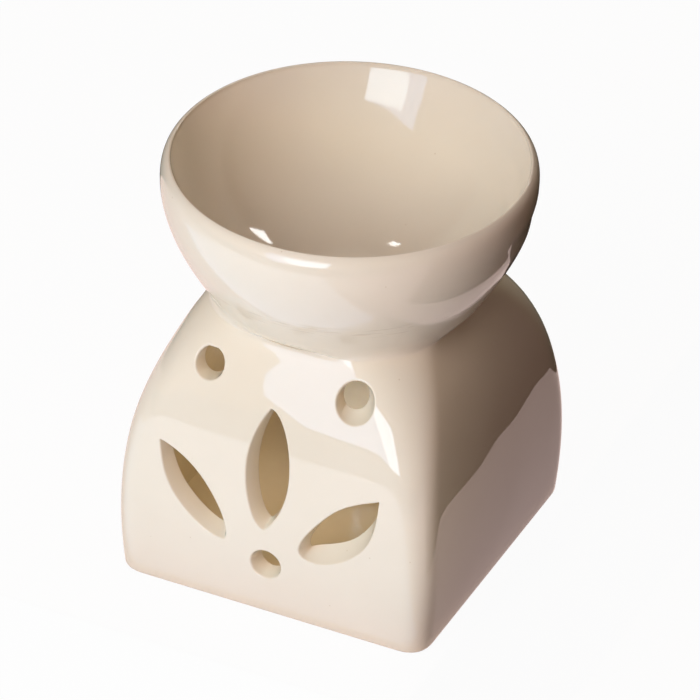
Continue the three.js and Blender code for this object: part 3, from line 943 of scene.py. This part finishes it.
# Wax: paraffin, poured into the cup round the wick. It set from the wall inwards, so its top climbs
# a little at the cup and at the wick and is sunk between them.
WAX_TOP = CUP_HEIGHT - 2.4 * MM
WAX_BOTTOM = 1.4 * MM
WAX_BORE = 0.78 * MM
WAX_CLIMB = 0.8 * MM
WAX_CLIMB_WIDTH = 2.2 * MM
WAX_CLIMB_POWER = 2.5
WICK_CLIMB_SHARE = 0.6
WAX_SINK = 0.35 * MM
WAX_CLEAR = 0.02 * MM
WAX_STEPS = 60

wax_radius = wall_in - WAX_CLEAR


def wax_surface(radius):
    """Height of the wax at a distance from the wick."""
    at_wall = max(0, 1 - (wax_radius - radius) / WAX_CLIMB_WIDTH)
    at_wick = max(0, 1 - (radius - WAX_BORE) / WAX_CLIMB_WIDTH)
    across = (radius - WAX_BORE) / (wax_radius - WAX_BORE)
    sink = WAX_SINK * math.sin(math.pi * across)
    climb = at_wall ** WAX_CLIMB_POWER + WICK_CLIMB_SHARE * at_wick ** WAX_CLIMB_POWER
    return WAX_TOP - sink + WAX_CLIMB * climb


wax_steps = [wax_radius + (WAX_BORE - wax_radius) * (index / WAX_STEPS)
             for index in range(WAX_STEPS + 1)]
wax_profile = [(WAX_BORE, WAX_BOTTOM), (wax_radius - CUP_ROUNDING, WAX_BOTTOM),
               (wax_radius, WAX_BOTTOM + CUP_ROUNDING)]
wax_profile += [(radius, wax_surface(radius)) for radius in wax_steps]
wax_profile.append(wax_profile[0])
wax = turned("wax_poured", wax_profile, CUP_SPOKES, CUP_BASE, CUP_PLACE)

# Paraffin: milky and a little clear, so light spreads in it, with faint frosting on its top.
WAX_PALE = "f3efe3"
WAX_CREAM = "ebe6d6"
WAX_ROUGHNESS = (0.35, 0.55)
WAX_IOR = 1.44
FROST_WIDTH = 5 * MM
FROST_DEPTH = 0.08 * MM
LIGHT_SPREAD = 2 * MM
paraffin, paraffin_output = new_material("poured paraffin wax")
wax_place = add_node(paraffin, "TexCoord").outputs["Object"]
wax_frost = add_node(paraffin, "TexNoise", vector=wax_place, scale=1 / FROST_WIDTH, detail=5)
wax_tone = add_node(paraffin, "MixRGB", fac=wax_frost.outputs["Fac"], color1=linear(WAX_PALE),
                    color2=linear(WAX_CREAM))
wax_gloss = add_node(paraffin, "MapRange", value=wax_frost.outputs["Fac"], to_min=WAX_ROUGHNESS[0],
                     to_max=WAX_ROUGHNESS[1])
wax_relief = add_node(paraffin, "Bump", height=wax_frost.outputs["Fac"], distance=FROST_DEPTH)
wax_shader = add_node(paraffin, "BsdfPrincipled", base_color=wax_tone, roughness=wax_gloss,
                      ior=WAX_IOR, normal=wax_relief, subsurface_weight=0.5,
                      subsurface_radius=(1, 0.8, 0.6), subsurface_scale=LIGHT_SPREAD)
surface(paraffin, paraffin_output, wax_shader)
wax.data.materials.append(paraffin)
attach(wax, "tealight")
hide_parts("wax_fill")


# Wick: cotton yarns twisted into a cord and primed with wax. It stands in the sustainer and leans a
# little where it was cut off.
WICK_YARNS = 3
YARN_RADIUS = 0.38 * MM
YARN_OFFSET = 0.36 * MM
YARN_CORNERS = 12
WICK_TURN_LENGTH = 3.4 * MM
WICK_STEPS = 72
WICK_LEAN = 0.012 / MM
WICK_SHARP_FROM = 50
wick_low, wick_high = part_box("wick")
wick_length = wick_high[2] - wick_low[2]

deselect_all()
bpy.ops.mesh.primitive_circle_add(vertices=YARN_CORNERS, radius=YARN_RADIUS, fill_type="NGON",
                                  location=(YARN_OFFSET, 0, 0))
wick = bpy.context.object
wick.name = "wick_twisted"
bpy.ops.object.transform_apply()
bpy.ops.object.mode_set(mode="EDIT")
for yarn in range(1, WICK_YARNS):
    bpy.ops.mesh.select_all(action="SELECT")
    if yarn > 1:
        bpy.ops.mesh.select_all(action="DESELECT")
        form = bmesh.from_edit_mesh(wick.data)
        form.faces.ensure_lookup_table()
        form.faces[-1].select_set(True)
        bmesh.update_edit_mesh(wick.data)
    bpy.ops.mesh.duplicate()
    bpy.ops.transform.rotate(value=2 * math.pi / WICK_YARNS, orient_axis="Z",
                             center_override=(0, 0, 0))
bpy.ops.object.mode_set(mode="OBJECT")
screw = wick.modifiers.new("twist", "SCREW")
screw.angle = 2 * math.pi * wick_length / WICK_TURN_LENGTH
screw.screw_offset = wick_length
screw.steps = WICK_STEPS
screw.render_steps = WICK_STEPS
bpy.ops.object.modifier_apply(modifier="twist")
bpy.ops.object.mode_set(mode="EDIT")
turn_faces_outward(wick)
bpy.ops.object.mode_set(mode="OBJECT")
for vertex in wick.data.vertices:
    above = max(vertex.co.z - WAX_TOP, 0)
    vertex.co.x += CUP_PLACE[0] + WICK_LEAN * above * above
    vertex.co.y += CUP_PLACE[1]
    vertex.co.z += wick_low[2]
bpy.ops.object.shade_smooth_by_angle(angle=math.radians(WICK_SHARP_FROM))

# Cotton under a skin of wax: off-white, dull, with the fine fibres of its yarn, which are drawn
# coarser than real ones, so that they show.
COTTON_PALE = "efe9d9"
COTTON_DEEP = "d9d0ba"
COTTON_ROUGHNESS = 0.8
FIBRE_WIDTH = 0.25 * MM
FIBRE_DEPTH = 0.06 * MM
cotton, cotton_output = new_material("waxed cotton cord")
wick_place = add_node(cotton, "TexCoord").outputs["Object"]
wick_fibre = add_node(cotton, "TexNoise", vector=wick_place, scale=1 / FIBRE_WIDTH, detail=3)
wick_tone = add_node(cotton, "MixRGB", fac=wick_fibre.outputs["Fac"], color1=linear(COTTON_PALE),
                     color2=linear(COTTON_DEEP))
wick_relief = add_node(cotton, "Bump", height=wick_fibre.outputs["Fac"], distance=FIBRE_DEPTH)
wick_shader = add_node(cotton, "BsdfPrincipled", base_color=wick_tone, roughness=COTTON_ROUGHNESS,
                       sheen_weight=0.2, normal=wick_relief)
surface(cotton, cotton_output, wick_shader)
wick.data.materials.append(cotton)
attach(wick, "tealight")
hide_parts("wick")


# Wick sustainer: a disc of tinned steel with a crimped neck that holds the wick upright. It stays
# as it was built, under the wax. The tin is dull, with the spangle of a dipped coat.
TIN_PALE = "c4c6c8"
TIN_DARK = "a9abae"
TIN_ROUGHNESS = (0.3, 0.45)
SPANGLE_WIDTH = 1.5 * MM
tin, tin_output = new_material("tinned steel sheet")
tin_place = add_node(tin, "TexCoord").outputs["Object"]
tin_spangle = add_node(tin, "TexVoronoi", vector=tin_place, scale=1 / SPANGLE_WIDTH)
tin_tone = add_node(tin, "MixRGB", fac=tin_spangle.outputs["Distance"], color1=linear(TIN_PALE),
                    color2=linear(TIN_DARK))
tin_gloss = add_node(tin, "MapRange", value=tin_spangle.outputs["Distance"],
                     to_min=TIN_ROUGHNESS[0], to_max=TIN_ROUGHNESS[1])
tin_shader = add_node(tin, "BsdfPrincipled", base_color=tin_tone, metallic=1.0, roughness=tin_gloss)
surface(tin, tin_output, tin_shader)
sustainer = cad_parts["wick_sustainer"]
sustainer.data.materials.clear()
sustainer.data.materials.append(tin)
